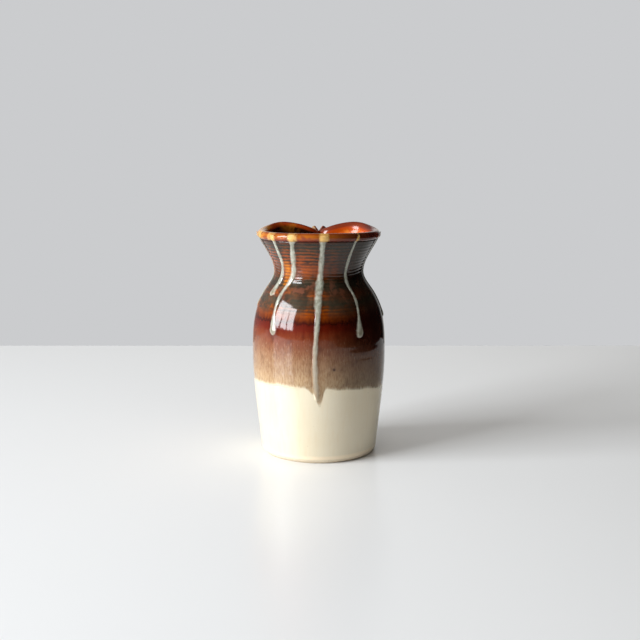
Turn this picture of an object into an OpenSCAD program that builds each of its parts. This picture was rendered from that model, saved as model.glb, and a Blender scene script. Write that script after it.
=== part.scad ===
// A wheel-thrown stoneware bud vase: one clay body with its rim pinched into a small
// pouring fold, three coats of glaze, and ten runs of ash glaze that came down from the lip.
// Millimetres, +Z up. The origin is the middle of the plane that the foot rests on.
// The fold in the rim points along +Y, so the front of the vase faces -Y.

/* [Foot] */
// Radius of the wall just above the foot's bevel
foot_r = 32.4; // [29:0.1:35]
// Width and height of the bevel round the foot
foot_bevel = 1.6; // [0.6:0.1:2.6]
// Width of the bare ring that the vase stands on
foot_ring_w = 7; // [4:0.5:12]
// Depth of the hollow trimmed under the floor
foot_hollow = 1.5; // [0.5:0.1:3]

/* [Body] */
// Radius of the clay at the belly
belly_r = 37.3; // [33:0.1:46]
// Height of the belly
belly_z = 57; // [45:0.5:66]
// Radius of the clay where the shoulder turns into the neck
shoulder_r = 28.4; // [25.5:0.1:31]
// Height of that turn
shoulder_z = 95.5; // [84:0.5:99]
// Radius of the clay at the narrowest part of the neck
neck_r = 24.4; // [21.5:0.1:25]
// Height of the narrowest part of the neck
neck_z = 104; // [101:0.5:106]

/* [Rim] */
// Radius of the clay just under the lip
flare_r = 32.6; // [28:0.1:35]
// Height of the lip at the sides of the vase
rim_z = 127.1; // [125:0.1:153]
// Radius of the rounded lip
lip_r = 2; // [1.9:0.1:2.4]

/* [Walls] */
// Thickness of the clay wall at the foot
wall_foot = 5; // [3.5:0.1:7]
// Thickness of the clay wall from the neck upwards
wall_neck = 3.5; // [2.8:0.1:3.7]
// Thickness of the clay floor
floor_t = 6; // [4:0.1:12]

/* [Pinched fold] */
// How far the rim rises at the front and the back
rim_rise = 1.5; // [0:0.1:3]
// Half of the arc of rim that the pinch draws in, in degrees
fold_arc = 56; // [50:1:65]
// Distance from the axis to the narrow throat of the fold
throat_y = 28.2; // [27:0.1:29]
// Open gap between the two sides of the throat, in the glazed vase
throat_gap = 1.4; // [1:0.1:2]
// Radius of the fold's round end, at the middle of the wall
ear_r = 3.4; // [3.2:0.1:4]
// Radius of the crease outside each side of the throat, at the middle of the wall
crease_r = 3.5; // [3.2:0.1:4]
// How far the rim dips at the throat
throat_dip = 6.4; // [4:0.1:7]
// How far the rim swells up on each side of the throat
hump_rise = 1; // [0:0.1:1.4]
// Bearing of those swellings from +Y
hump_arc = 44; // [38:1:50]
// How far the ears rise above the throat
ear_rise = 1.2; // [0:0.1:1.3]
// How far the outer end of the fold drops below the throat
fold_drop = 0.6; // [0:0.1:1]
// Share of the wall's thickness that is left where it was squeezed
squeeze = 0.68; // [0.62:0.01:0.74]

/* [Glaze] */
// Thickness of each coat of glaze
glaze_t = 0.4; // [0.3:0.05:0.5]
// Height of the line that the vase was dipped to, where brown glaze meets cream
dip_z = 41; // [25:0.5:54]
// Height of bare clay left above the foot
bare_z = 2.2; // [2:0.1:6]
// Height of each run of glaze above the coat under it
run_t = 0.7; // [0.4:0.05:1.2]
// Gap between a run and the coat under it
run_clearance = 0.02; // [0.01:0.01:0.05]

/* [Hidden] */
// Each run: its name, its bearing from the front towards +X in degrees, the heights where it
// starts drifting aside and where it ends, that drift in degrees, and its width.
RUNS = [
    ["run_front", 3.6, 100, 37, -6, 3.8],
    ["run_front_right", 36.5, 94, 71, 1.5, 2.6],
    ["run_right", 84, 92, 78, 3, 2.4],
    ["run_back_right", 121, 98, 58, -4, 3.0],
    ["run_right_of_fold", 149, 90, 86, 2, 2.4],
    ["run_left_of_fold", -150, 98, 72, 3, 2.6],
    ["run_back_left", -117, 94, 60, -3, 3.2],
    ["run_left", -88, 90, 84, 2, 2.4],
    ["run_left_short", -48, 104, 92, -10, 2.6],
    ["run_front_left", -26, 104, 72, -17, 3.0]
];

// Slopes of the outer wall where its curves meet, in millimetres out per millimetre up
foot_slope = 0.09;
shoulder_slope = -0.72;
flare_slope = 0.5;
// Rounding of the inside corner at the floor
heel_r = 9;
// Steps up the wall, up the flare, round the lip, and along the four parts of the rim's plan
wall_steps = 26;
flare_steps = 8;
lip_steps = 8;
round_steps = 17;
flank_steps = 6;
crease_steps = 7;
ear_steps = 6;
// Height of one step down a run, rings round its drop, and points across it
run_step = 3;
drop_rings = 5;
run_points = 5;
// Ledge that seats the faceted rim on the turned body without sharing an edge
seat = 0.03;

lip_z = rim_z - lip_r;
under_lip_z = lip_z - lip_r - 0.5;
floor_z = foot_hollow + floor_t;
joint_z = neck_z + 0.5;
pinch_z = neck_z + 2;

function mix(a, b, t) = a + (b - a) * t;
function clamp01(t) = max(0, min(1, t));
function smooth(t) = let (u = clamp01(t)) u * u * (3 - 2 * u);

// A smooth curve from radius r0 to r1 between two heights, with the slopes m0 and m1
function curve(z, z0, r0, m0, z1, r1, m1) =
    let (h = z1 - z0, t = (z - z0) / h, t2 = t * t, t3 = t2 * t)
    r0 * (2 * t3 - 3 * t2 + 1) + r1 * (3 * t2 - 2 * t3)
    + h * (m0 * (t3 - 2 * t2 + t) + m1 * (t3 - t2));

// Radius of the clay's outside and inside at a height, before the rim is pinched
function outer_r(z) =
    z < foot_bevel ? foot_r - foot_bevel + z
    : z < belly_z ? curve(z, foot_bevel, foot_r, foot_slope, belly_z, belly_r, 0)
    : z < shoulder_z ? curve(z, belly_z, belly_r, 0, shoulder_z, shoulder_r, shoulder_slope)
    : z < neck_z ? curve(z, shoulder_z, shoulder_r, shoulder_slope, neck_z, neck_r, 0)
    : z < under_lip_z ? curve(z, neck_z, neck_r, 0, under_lip_z, flare_r, flare_slope)
    : flare_r + flare_slope * (z - under_lip_z);
function wall_t(z) = mix(wall_foot, wall_neck, clamp01(z / neck_z));
function inner_r(z) = outer_r(z) - wall_t(z);
function mid_r(z) = outer_r(z) - wall_neck / 2;

lip_mid_r = mid_r(lip_z);
rim_mid_r = mid_r(rim_z);

function heights(z0, z1, steps) = [for (i = [0 : steps]) mix(z0, z1, i / steps)];

// Outlines in radius and height. coat is how far each one stands off the clay.
function outside(z0, z1, coat, steps) = [for (z = heights(z0, z1, steps)) [outer_r(z) + coat, z]];
function inside(z0, z1, coat, steps) = [for (z = heights(z0, z1, steps)) [inner_r(z) - coat, z]];
function lip_outside(coat) =
    [for (i = [0 : lip_steps])
        let (a = mix(-75, 90, i / lip_steps), r = lip_r + coat)
        [lip_mid_r + r * cos(a), lip_z + r * sin(a)]];
function lip_inside(coat) =
    let (reach = lip_mid_r - inner_r(under_lip_z), drop = rim_z - under_lip_z)
    [for (i = [1 : lip_steps - 2])
        let (a = 90 * i / lip_steps)
        [lip_mid_r - (reach + coat) * sin(a), under_lip_z + (drop + coat) * cos(a)]];
function reversed(list) = [for (i = [len(list) - 1 : -1 : 0]) list[i]];

function bezier(p0, p1, p2, p3, t) =
    let (s = 1 - t) s * s * s * p0 + 3 * s * s * t * p1 + 3 * s * t * t * p2 + t * t * t * p3;

// Middle of the rim in plan. From +Y round to the side it goes along the round end of the fold,
// then round the crease outside the throat, then out along a flank to the plain round rim.
throat_x = throat_gap / 2 + squeeze * (lip_r + glaze_t);
crease_x = throat_x + crease_r;
ear_y = throat_y + sqrt(pow(ear_r + crease_r, 2) - pow(crease_x, 2));
lean = asin((ear_y - throat_y) / (ear_r + crease_r));
ear_len = ear_r * (90 + lean) / 57.3;
crease_len = crease_r * (90 + lean) / 57.3;
flank_0 = [crease_x, throat_y - crease_r];
flank_1 = rim_mid_r * [sin(fold_arc), cos(fold_arc)];
flank_len = 1.05 * norm(flank_1 - flank_0);
fold_len = ear_len + crease_len + flank_len;
ear_arc = fold_arc * ear_len / fold_len;
throat_arc = fold_arc * (ear_len + crease_r * lean / 57.3) / fold_len;
crease_arc = fold_arc * (ear_len + crease_len) / fold_len;

// The plan's point at b degrees from +Y towards +X
function rim_plan(b) =
    let (
        c = abs(b), pull = 0.36 * flank_len,
        turn = 180 - lean + (90 + lean) * (c - ear_arc) / (crease_arc - ear_arc),
        p = c >= fold_arc ? rim_mid_r * [sin(c), cos(c)]
            : c >= crease_arc
            ? bezier(flank_0, flank_0 + pull * [1, 0], flank_1 + pull * [-cos(fold_arc), sin(fold_arc)],
                flank_1, (c - crease_arc) / (fold_arc - crease_arc))
            : c >= ear_arc ? [crease_x, throat_y] + crease_r * [cos(turn), sin(turn)]
            : [0, ear_y] + ear_r * [sin((90 + lean) * c / ear_arc), cos((90 + lean) * c / ear_arc)]
    )
    [b < 0 ? -p[0] : p[0], p[1]];

// The pinch moves a point of the plain turned vase, at b degrees, radius r and height z
function pinch_share(z) = pow(clamp01((z - pinch_z) / (under_lip_z - pinch_z)), 1.3);
function mid_plan(b, z) =
    let (r = mid_r(z))
    mix(r * [sin(b), cos(b)], rim_plan(b) * r / rim_mid_r, pinch_share(z));
function rim_lift(b) =
    let (
        c = abs(b), e = c / throat_arc,
        saddle = rim_rise * pow(cos(b), 2) + hump_rise * exp(-pow((c - hump_arc) / 15, 2))
    )
    c >= throat_arc ? saddle - throat_dip * exp((throat_arc - c) / 10)
    : saddle - throat_dip + ear_rise * pow(sin(180 * e), 1.5) - fold_drop * pow(1 - e, 2);
function thinning(b) = mix(squeeze, 1, smooth((abs(b) - throat_arc) / 12));
function pinched(b, r, z) =
    let (
        step = mid_plan(b + 0.5, z) - mid_plan(b - 0.5, z), out = [-step[1], step[0]] / norm(step),
        share = pinch_share(z), off = (r - mid_r(z)) * mix(1, thinning(b), pow(share, 0.3)),
        p = mid_plan(b, z) + off * out
    )
    [p[0], p[1], z + rim_lift(b) * share];

// Bearings round the rim: even round the front, closer together through the fold
half_turn = concat(
    [for (i = [0 : ear_steps - 1]) ear_arc * i / ear_steps],
    [for (i = [0 : crease_steps - 1]) mix(ear_arc, crease_arc, i / crease_steps)],
    [for (i = [0 : flank_steps - 1]) mix(crease_arc, fold_arc, i / flank_steps)],
    [for (i = [0 : round_steps - 1]) mix(fold_arc, 180, i / round_steps)]
);
bearings = concat(half_turn, [180], [for (i = [len(half_turn) - 1 : -1 : 1]) -half_turn[i]]);

// A closed outline carried round the vase, as a solid ring with the pinch in it
module pinched_ring(outline) {
    n = len(outline);
    m = len(bearings);
    points = [for (b = bearings) for (p = outline) pinched(b, p[0], p[1])];
    faces = [for (i = [0 : m - 1]) for (k = [0 : n - 1])
        let (
            a = i * n + k, b = i * n + (k + 1) % n,
            c = ((i + 1) % m) * n + (k + 1) % n, d = ((i + 1) % m) * n + k
        )
        each [[a, c, b], [a, d, c]]];
    polyhedron(points, faces);
}

// The same outline with its foot drawn in by the seat, so that it stands inside the ring below it
function seated(outer, inner) =
    let (sag = inner[0][0] * (1 / cos(90 / round_steps) - 1))
    concat(
        [[outer[0][0] - seat, outer[0][1]]],
        [for (i = [1 : len(outer) - 1]) outer[i]],
        [for (i = [len(inner) - 1 : -1 : 1]) inner[i]],
        [[inner[0][0] + seat + sag, inner[0][1]]]
    );

module clay_body() {
    ring_in = foot_r - foot_bevel - foot_ring_w;
    heel_in = inner_r(floor_z + heel_r);
    color("antiquewhite") union() {
        rotate_extrude($fn = 96) polygon(concat(
            [[0, foot_hollow], [ring_in - foot_hollow, foot_hollow], [ring_in, 0]],
            [[foot_r - foot_bevel, 0]],
            outside(foot_bevel, joint_z, 0, wall_steps),
            reversed(inside(floor_z + heel_r, joint_z, 0, wall_steps)),
            [for (a = [15 : 15 : 90]) [heel_in - heel_r * (1 - cos(a)), floor_z + heel_r * (1 - sin(a))]],
            [[0, floor_z]]
        ));
        pinched_ring(seated(
            concat(outside(joint_z, under_lip_z, 0, flare_steps), lip_outside(0)),
            concat(inside(joint_z, under_lip_z, 0, flare_steps), reversed(lip_inside(0)))
        ));
    }
}

// The liner coats the floor, the inside wall and the inner half of the lip
module liner_glaze() {
    heel_in = inner_r(floor_z + heel_r);
    function heel(coat) =
        [for (a = [90 : -15 : 15])
            let (r = heel_r - coat) [heel_in - heel_r + r * cos(a), floor_z + heel_r - r * sin(a)]];
    color("saddlebrown") union() {
        rotate_extrude($fn = 96) polygon(concat(
            [[0, floor_z]], heel(0), inside(floor_z + heel_r, joint_z, 0, wall_steps),
            reversed(inside(floor_z + heel_r, joint_z, glaze_t, wall_steps)),
            reversed(heel(glaze_t)), [[0, floor_z + glaze_t]]
        ));
        pinched_ring(seated(
            concat(
                inside(joint_z, under_lip_z, 0, flare_steps),
                reversed(lip_inside(0)), [[lip_mid_r, rim_z]]
            ),
            concat(
                inside(joint_z, under_lip_z, glaze_t, flare_steps),
                reversed(lip_inside(glaze_t)), [[lip_mid_r, rim_z + glaze_t]]
            )
        ));
    }
}

// The cream coat runs from the bare foot up to the dip line
module cream_glaze() {
    color("cornsilk") rotate_extrude($fn = 96) polygon(concat(
        outside(bare_z, dip_z, glaze_t, wall_steps), reversed(outside(bare_z, dip_z, 0, wall_steps))
    ));
}

// The brown coat runs from the dip line up over the outer half of the lip
module brown_glaze() {
    color("sienna") union() {
        rotate_extrude($fn = 96) polygon(concat(
            outside(dip_z, joint_z, glaze_t, wall_steps), reversed(outside(dip_z, joint_z, 0, wall_steps))
        ));
        pinched_ring(seated(
            concat(outside(joint_z, under_lip_z, glaze_t, flare_steps), lip_outside(glaze_t)),
            concat(outside(joint_z, under_lip_z, 0, flare_steps), lip_outside(0))
        ));
    }
}

// A run of glaze: a low rounded ridge down the outside that ends in a heavier drop
module glaze_run(bearing, drift_z, end_z, drift, width) {
    top_z = under_lip_z;
    neck_width = 0.8 * width;
    run_rings = ceil((top_z - end_z) / run_step);
    function bearing_at(z) = bearing + drift * smooth((drift_z + 8 - z) / 16);
    drop_from = 1 - 0.6 * width / (top_z - end_z);
    spots = concat(
        [for (i = [0 : run_rings - 1]) drop_from * i / run_rings],
        [for (i = [0 : drop_rings]) mix(drop_from, 1, sin(90 * i / drop_rings))]
    );
    function width_at(t) =
        t < 0.8 ? mix(width, neck_width, t / 0.8) : mix(neck_width, width, (t - 0.8) / 0.2);
    function end_round(t) = sqrt(max(0, 1 - pow(max(0, t - drop_from) / (1 - drop_from), 2)));
    function section(t) =
        let (
            z = mix(top_z, end_z, t), base = outer_r(z) + glaze_t + run_clearance,
            half = max(0.15, width_at(t) / 2 * end_round(t)),
            tall = max(0.08, run_t * min(1, 0.3 + 6 * t) * end_round(t))
        )
        concat(
            [for (i = [0 : run_points - 1])
                let (s = mix(-1, 1, i / (run_points - 1)), b = 180 - bearing_at(z) - s * half * 57.3 / base)
                pinched(b > 180 ? b - 360 : b, base, z)],
            [for (i = [1 : run_points - 2])
                let (s = mix(1, -1, i / (run_points - 1)), b = 180 - bearing_at(z) - s * half * 57.3 / base)
                pinched(b > 180 ? b - 360 : b, base + tall * sqrt(1 - s * s), z)]
        );
    n = 2 * run_points - 2;
    sections = [for (t = spots) section(t)];
    walls = [for (i = [0 : len(spots) - 2]) for (k = [0 : n - 1])
        let (a = i * n + k, b = i * n + (k + 1) % n, c = (i + 1) * n + (k + 1) % n, d = (i + 1) * n + k)
        each [[a, c, b], [a, d, c]]];
    last = (len(spots) - 1) * n;
    cap = concat(
        [for (k = [0 : run_points - 3]) [k, k + 1, n - k - 1]],
        [for (k = [1 : run_points - 2]) [k, n - k - 1, n - k]]
    );
    caps = [for (f = cap) each [f, [last + f[0], last + f[2], last + f[1]]]];
    color("darkseagreen") polyhedron([for (s = sections) each s], concat(walls, caps));
}

clay_body();
liner_glaze();
cream_glaze();
brown_glaze();
for (r = RUNS)
    glaze_run(r[1], r[2], r[3], r[4], r[5]);
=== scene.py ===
# %% [markdown]
# # A small stoneware vase with a pinched lip
# The CAD model is the frame of this scene. Every piece made here stands for one of its solids and
# keeps its size and place.

# %% Load the imported model
import bpy
import math
import numpy as np
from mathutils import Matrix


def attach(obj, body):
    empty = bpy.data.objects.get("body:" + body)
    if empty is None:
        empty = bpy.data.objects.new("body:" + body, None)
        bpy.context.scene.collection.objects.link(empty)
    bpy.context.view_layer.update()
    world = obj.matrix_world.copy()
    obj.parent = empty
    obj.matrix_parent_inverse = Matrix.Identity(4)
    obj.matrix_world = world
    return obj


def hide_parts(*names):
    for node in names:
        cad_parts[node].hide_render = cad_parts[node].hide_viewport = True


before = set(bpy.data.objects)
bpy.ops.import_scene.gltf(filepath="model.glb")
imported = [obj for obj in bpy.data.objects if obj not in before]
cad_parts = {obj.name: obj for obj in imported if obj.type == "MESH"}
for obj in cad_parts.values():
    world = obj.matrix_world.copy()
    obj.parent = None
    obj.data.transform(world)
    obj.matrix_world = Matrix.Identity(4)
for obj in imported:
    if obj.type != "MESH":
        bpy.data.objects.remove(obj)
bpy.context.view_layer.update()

MM = 0.001
scene = bpy.context.scene

# %% [markdown]
# The camera stands in front of the vase and looks a little down on it, so that the mouth shows as
# a narrow ellipse. A long lens from far away keeps the sides nearly parallel.

# %% Camera
CAMERA_AT = (0.0007, -0.7266, 0.2166)
LOOK_DOWN = 11
bpy.ops.object.select_all(action="DESELECT")
bpy.ops.object.camera_add(location=CAMERA_AT, rotation=(math.radians(90 - LOOK_DOWN), 0, 0))
camera = bpy.context.object
camera.data.lens = 73.125
camera.data.sensor_width = 36
camera.data.clip_start = 0.01
scene.camera = camera
scene.view_settings.view_transform = "Standard"
print("camera at", tuple(round(v, 3) for v in camera.location))

# %% [markdown]
# The table is one wide slab with a softened back edge. A cube is scaled to size and its edges are
# bevelled. It counts as stage, not as part of the vase.

# %% Table
TABLE_SIZE = (1.86, 2.284, 0.04)
TABLE_MIDDLE = (-0.6, -0.858, -TABLE_SIZE[2] / 2)
bpy.ops.mesh.primitive_cube_add(size=1, location=TABLE_MIDDLE)
table = bpy.context.object
table.name = "table_top"
bpy.ops.object.mode_set(mode="EDIT")
bpy.ops.transform.resize(value=TABLE_SIZE)
bpy.ops.mesh.select_all(action="SELECT")
bpy.ops.mesh.bevel(offset=0.003, segments=3)
bpy.ops.object.mode_set(mode="OBJECT")
bpy.ops.object.transform_apply(location=True, rotation=True, scale=True)
print("table reaches back to", round(max(v.co.y for v in table.data.vertices), 3))

# %% [markdown]
# Glaze is a mirror before it is a colour, so the light needs a shape worth reflecting. Three tall
# soft panels stand side by side at the front left, like the panes of a window, and a dim room is
# left to the right so that the dark glaze stays dark there.

# %% Window panels
def soft_light(name, spot, tilt, turn, shape, size, energy, colour):
    """An area light. Tilt 0 shines straight down, and turn swings it round, both in degrees."""
    bpy.ops.object.light_add(type="AREA", location=spot, rotation=(math.radians(tilt), 0, math.radians(turn)))
    light = bpy.context.object
    light.name = name
    light.data.shape = shape
    light.data.size = size
    light.data.energy = energy
    light.data.color = colour
    print(name, "at", tuple(round(v, 2) for v in spot), energy, "W")
    return light


PANE_AWAY, PANE_HEIGHT = 1.5, 0.63
for place, azimuth in enumerate((52, 65, 78)):
    turn = math.radians(azimuth)
    spot = (-PANE_AWAY * math.sin(turn), -PANE_AWAY * math.cos(turn), PANE_HEIGHT)
    pane = soft_light("window_%d" % place, spot, 73, -azimuth, "RECTANGLE", 0.31, 13.5, (0.94, 0.97, 1.0))
    pane.data.size_y = 0.80

# %% [markdown]
# The shaded side still needs light, but no second mirror image. A large fill panel at the front
# right gives only diffuse light: it is hidden from glossy rays, so the dark glaze stays dark.

# %% Fill panel
fill = soft_light("fill", (0.7, -1.3, 0.9), 60, 28, "DISK", 1.3, 1.5, (1.0, 0.97, 0.91))
fill.visible_glossy = False

# %% [markdown]
# A soft panel overhead brightens the table top and thins the shadow. It lights upright walls very
# little, and like the fill it makes no mirror image.

# %% Overhead panel
overhead = soft_light("overhead", (0.1, 0, 1.6), 0, 0, "DISK", 1.2, 6.6, (1.0, 0.975, 0.93))
overhead.visible_glossy = False

# %% [markdown]
# The rest of the room is a sky of plain greys. Seen directly it is an even pale grey wall. As light
# it is brighter behind the vase and to the left, and nearly black at the front right.

# %% Room
world = bpy.data.worlds.new("room")
scene.world = world
world.use_nodes = True
sky = world.node_tree
sky.nodes.clear()
way = sky.nodes.new("ShaderNodeTexCoord")
split = sky.nodes.new("ShaderNodeSeparateXYZ")
sky.links.new(way.outputs["Generated"], split.inputs[0])


def glow(axis, dark_at, bright_at, strength):
    """Brightness that grows along one axis of the room."""
    made = sky.nodes.new("ShaderNodeMapRange")
    made.interpolation_type = "SMOOTHSTEP"
    made.inputs["From Min"].default_value = dark_at
    made.inputs["From Max"].default_value = bright_at
    made.inputs["To Max"].default_value = strength
    sky.links.new(split.outputs[axis], made.inputs["Value"])
    return made


behind = glow("Y", 0.84, 1.0, 0.75)
left = glow("X", 0.1, -0.8, 0.34)
both = sky.nodes.new("ShaderNodeMath")
both.operation = "MAXIMUM"
sky.links.new(behind.outputs[0], both.inputs[0])
sky.links.new(left.outputs[0], both.inputs[1])
floor_light = sky.nodes.new("ShaderNodeMath")
floor_light.operation = "ADD"
floor_light.inputs[1].default_value = 0.008
sky.links.new(both.outputs[0], floor_light.inputs[0])
room_light = sky.nodes.new("ShaderNodeBackground")
room_light.inputs["Color"].default_value = (1.0, 0.985, 0.96, 1)
sky.links.new(floor_light.outputs[0], room_light.inputs["Strength"])
wall_seen = sky.nodes.new("ShaderNodeBackground")
wall_seen.inputs["Color"].default_value = (0.597, 0.604, 0.617, 1)
path = sky.nodes.new("ShaderNodeLightPath")
choose = sky.nodes.new("ShaderNodeMixShader")
sky.links.new(path.outputs["Is Camera Ray"], choose.inputs[0])
sky.links.new(room_light.outputs[0], choose.inputs[1])
sky.links.new(wall_seen.outputs[0], choose.inputs[2])
room_end = sky.nodes.new("ShaderNodeOutputWorld")
sky.links.new(choose.outputs[0], room_end.inputs["Surface"])
print("room has", len(sky.nodes), "nodes")

# %% [markdown]
# The vase is thrown on a wheel, so it starts as one outline: a foot, a belly, a shoulder, a neck and
# a flare. The outline is the same set of smooth curves that the CAD solids are turned from, in
# millimetres, so each new piece lies exactly where its solid lies.

# %% Outline of the vase
FOOT_R, FOOT_BEVEL, FOOT_RING, FOOT_HOLLOW = 32.4, 1.6, 7.0, 1.5
BELLY_Z, BELLY_R = 57.0, 37.3
SHOULDER_Z, SHOULDER_R, SHOULDER_SLOPE = 95.5, 28.4, -0.72
NECK_Z, NECK_R = 104.0, 24.4
FLARE_Z, FLARE_R, FLARE_SLOPE = 122.6, 32.6, 0.5
PINCH_Z = 106.0
LIP_Z, LIP_R, RIM_Z = 125.1, 2.0, 127.1
WALL_FOOT, WALL_NECK, GLAZE = 5.0, 3.5, 0.4
FLOOR_Z, HEEL_R = 7.5, 9.0


def between(a, b, t):
    return a + (b - a) * t


def smooth(t):
    t = np.clip(t, 0, 1)
    return t * t * (3 - 2 * t)


def bend(z, z0, r0, m0, z1, r1, m1):
    """A smooth curve from radius r0 to r1 between two heights, with the slopes m0 and m1."""
    h = z1 - z0
    t = (z - z0) / h
    ends = r0 * (2 * t**3 - 3 * t**2 + 1) + r1 * (3 * t**2 - 2 * t**3)
    return ends + h * (m0 * (t**3 - 2 * t**2 + t) + m1 * (t**3 - t**2))


def outer_r(z):
    z = np.asarray(z, float)
    parts = [
        FOOT_R - FOOT_BEVEL + z,
        bend(z, FOOT_BEVEL, FOOT_R, 0.09, BELLY_Z, BELLY_R, 0),
        bend(z, BELLY_Z, BELLY_R, 0, SHOULDER_Z, SHOULDER_R, SHOULDER_SLOPE),
        bend(z, SHOULDER_Z, SHOULDER_R, SHOULDER_SLOPE, NECK_Z, NECK_R, 0),
        bend(z, NECK_Z, NECK_R, 0, FLARE_Z, FLARE_R, FLARE_SLOPE),
    ]
    tops = [z < top for top in (FOOT_BEVEL, BELLY_Z, SHOULDER_Z, NECK_Z, FLARE_Z)]
    return np.select(tops, parts, FLARE_R + FLARE_SLOPE * (z - FLARE_Z))


def inner_r(z):
    return outer_r(z) - between(WALL_FOOT, WALL_NECK, np.clip(np.asarray(z, float) / NECK_Z, 0, 1))


def mid_r(z):
    return outer_r(z) - WALL_NECK / 2


LIP_MID = float(mid_r(LIP_Z))
RIM_MID = float(mid_r(RIM_Z))
print("belly", 2 * float(outer_r(BELLY_Z)), "neck", 2 * float(outer_r(NECK_Z)))
print("lip", round(2 * (LIP_MID + LIP_R), 1))

# %% [markdown]
# While the clay was wet, the back of the rim was squeezed between two fingers, so that it closes to
# a slit and folds into two small ears. No operator gives that shape. It is a formula instead: it
# moves a point of the plain turned vase, given as a bearing, a radius and a height, to its place
# after the squeeze. Bearings run from the back, +Y, towards +X.

# %% The squeezed rim
FOLD_ARC, THROAT_Y, EAR_R, CREASE_R, SQUEEZE = 56.0, 28.2, 3.4, 3.5, 0.68
throat_x = 0.7 + SQUEEZE * (LIP_R + GLAZE)
crease_x = throat_x + CREASE_R
ear_y = THROAT_Y + math.sqrt((EAR_R + CREASE_R) ** 2 - crease_x**2)
lean = math.degrees(math.asin((ear_y - THROAT_Y) / (EAR_R + CREASE_R)))
ear_len = EAR_R * (90 + lean) / 57.3
crease_len = CREASE_R * (90 + lean) / 57.3
flank_0 = np.array([crease_x, THROAT_Y - CREASE_R])
fold = math.radians(FOLD_ARC)
flank_1 = RIM_MID * np.array([math.sin(fold), math.cos(fold)])
flank_len = 1.05 * float(np.linalg.norm(flank_1 - flank_0))
fold_len = ear_len + crease_len + flank_len
ear_arc = FOLD_ARC * ear_len / fold_len
throat_arc = FOLD_ARC * (ear_len + CREASE_R * lean / 57.3) / fold_len
crease_arc = FOLD_ARC * (ear_len + crease_len) / fold_len


def rim_plan(b):
    """Middle of the squeezed rim, seen from above."""
    c = np.abs(b)
    rad = np.radians(c)
    pull = 0.36 * flank_len
    t = np.clip((c - crease_arc) / (FOLD_ARC - crease_arc), 0, 1)
    p1 = flank_0 + pull * np.array([1, 0])
    p2 = flank_1 + pull * np.array([-math.cos(fold), math.sin(fold)])
    u = 1 - t
    turn = np.radians(180 - lean + (90 + lean) * (c - ear_arc) / (crease_arc - ear_arc))
    tip = np.radians((90 + lean) * c / ear_arc)
    spots = []
    for k, wave, tip_wave, centre in ((0, np.cos, np.sin, 0.0), (1, np.sin, np.cos, ear_y)):
        plain = RIM_MID * (np.sin(rad) if k == 0 else np.cos(rad))
        flank = u**3 * flank_0[k] + 3 * u * u * t * p1[k] + 3 * u * t * t * p2[k] + t**3 * flank_1[k]
        crease = (crease_x, THROAT_Y)[k] + CREASE_R * wave(turn)
        ear = centre + EAR_R * tip_wave(tip)
        places = [c >= FOLD_ARC, c >= crease_arc, c >= ear_arc]
        spots.append(np.select(places, [plain, flank, crease], ear))
    return np.where(b < 0, -spots[0], spots[0]), spots[1]


def squeezed_share(z):
    return np.clip((z - PINCH_Z) / (FLARE_Z - PINCH_Z), 0, 1) ** 1.3


def mid_plan(b, z):
    r, k = mid_r(z), squeezed_share(z)
    x, y = rim_plan(b)
    rad = np.radians(b)
    return between(r * np.sin(rad), x * r / RIM_MID, k), between(r * np.cos(rad), y * r / RIM_MID, k)


SADDLE, HUMP, HUMP_ARC, HUMP_WIDTH = 1.5, 1.0, 44, 15
THROAT_DROP, EAR_RISE = 6.6, 3.1


def rim_lift(b):
    """How far the rim rises or sinks: a saddle with two humps, a deep throat and two ears."""
    c = np.abs(b)
    saddle = SADDLE * np.cos(np.radians(b)) ** 2 + HUMP * np.exp(-(((c - HUMP_ARC) / HUMP_WIDTH) ** 2))
    e = np.clip(c / throat_arc, 0, 1)
    ears = saddle - THROAT_DROP + EAR_RISE * np.sin(np.pi * e**1.15) ** 0.7 - 0.2 * (1 - e) ** 2
    return np.where(c >= throat_arc, saddle - THROAT_DROP * np.exp((throat_arc - c) / 10), ears)


def squeeze(b, r, z):
    """Where a point of the plain vase ends up, x, y and z in millimetres."""
    ax, ay = mid_plan(b + 0.5, z)
    bx, by = mid_plan(b - 0.5, z)
    size = np.hypot(ax - bx, ay - by)
    nx, ny = -(ay - by) / size, (ax - bx) / size
    share = squeezed_share(z)
    thin = between(SQUEEZE, 1, smooth((np.abs(b) - throat_arc) / 12))
    off = (r - mid_r(z)) * between(1, thin, share**0.3)
    x, y = mid_plan(b, z)
    return x + off * nx, y + off * ny, z + rim_lift(b) * share


mouth = squeeze(np.array([180.0, 90.0, throat_arc]), np.full(3, LIP_MID), np.full(3, RIM_Z))
print("rim at front, side and throat", [round(float(v), 1) for v in mouth[2]])

# %% [markdown]
# Every turned piece is made the same way by hand: a plane is merged to one point, the point is
# extruded along the outline, and the outline is spun once round the axis. Doubles are merged and
# the normals turned outwards. Then the points are read as bearing, radius and height, nudged by the
# formulas of that piece, and put back through the squeeze.

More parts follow.
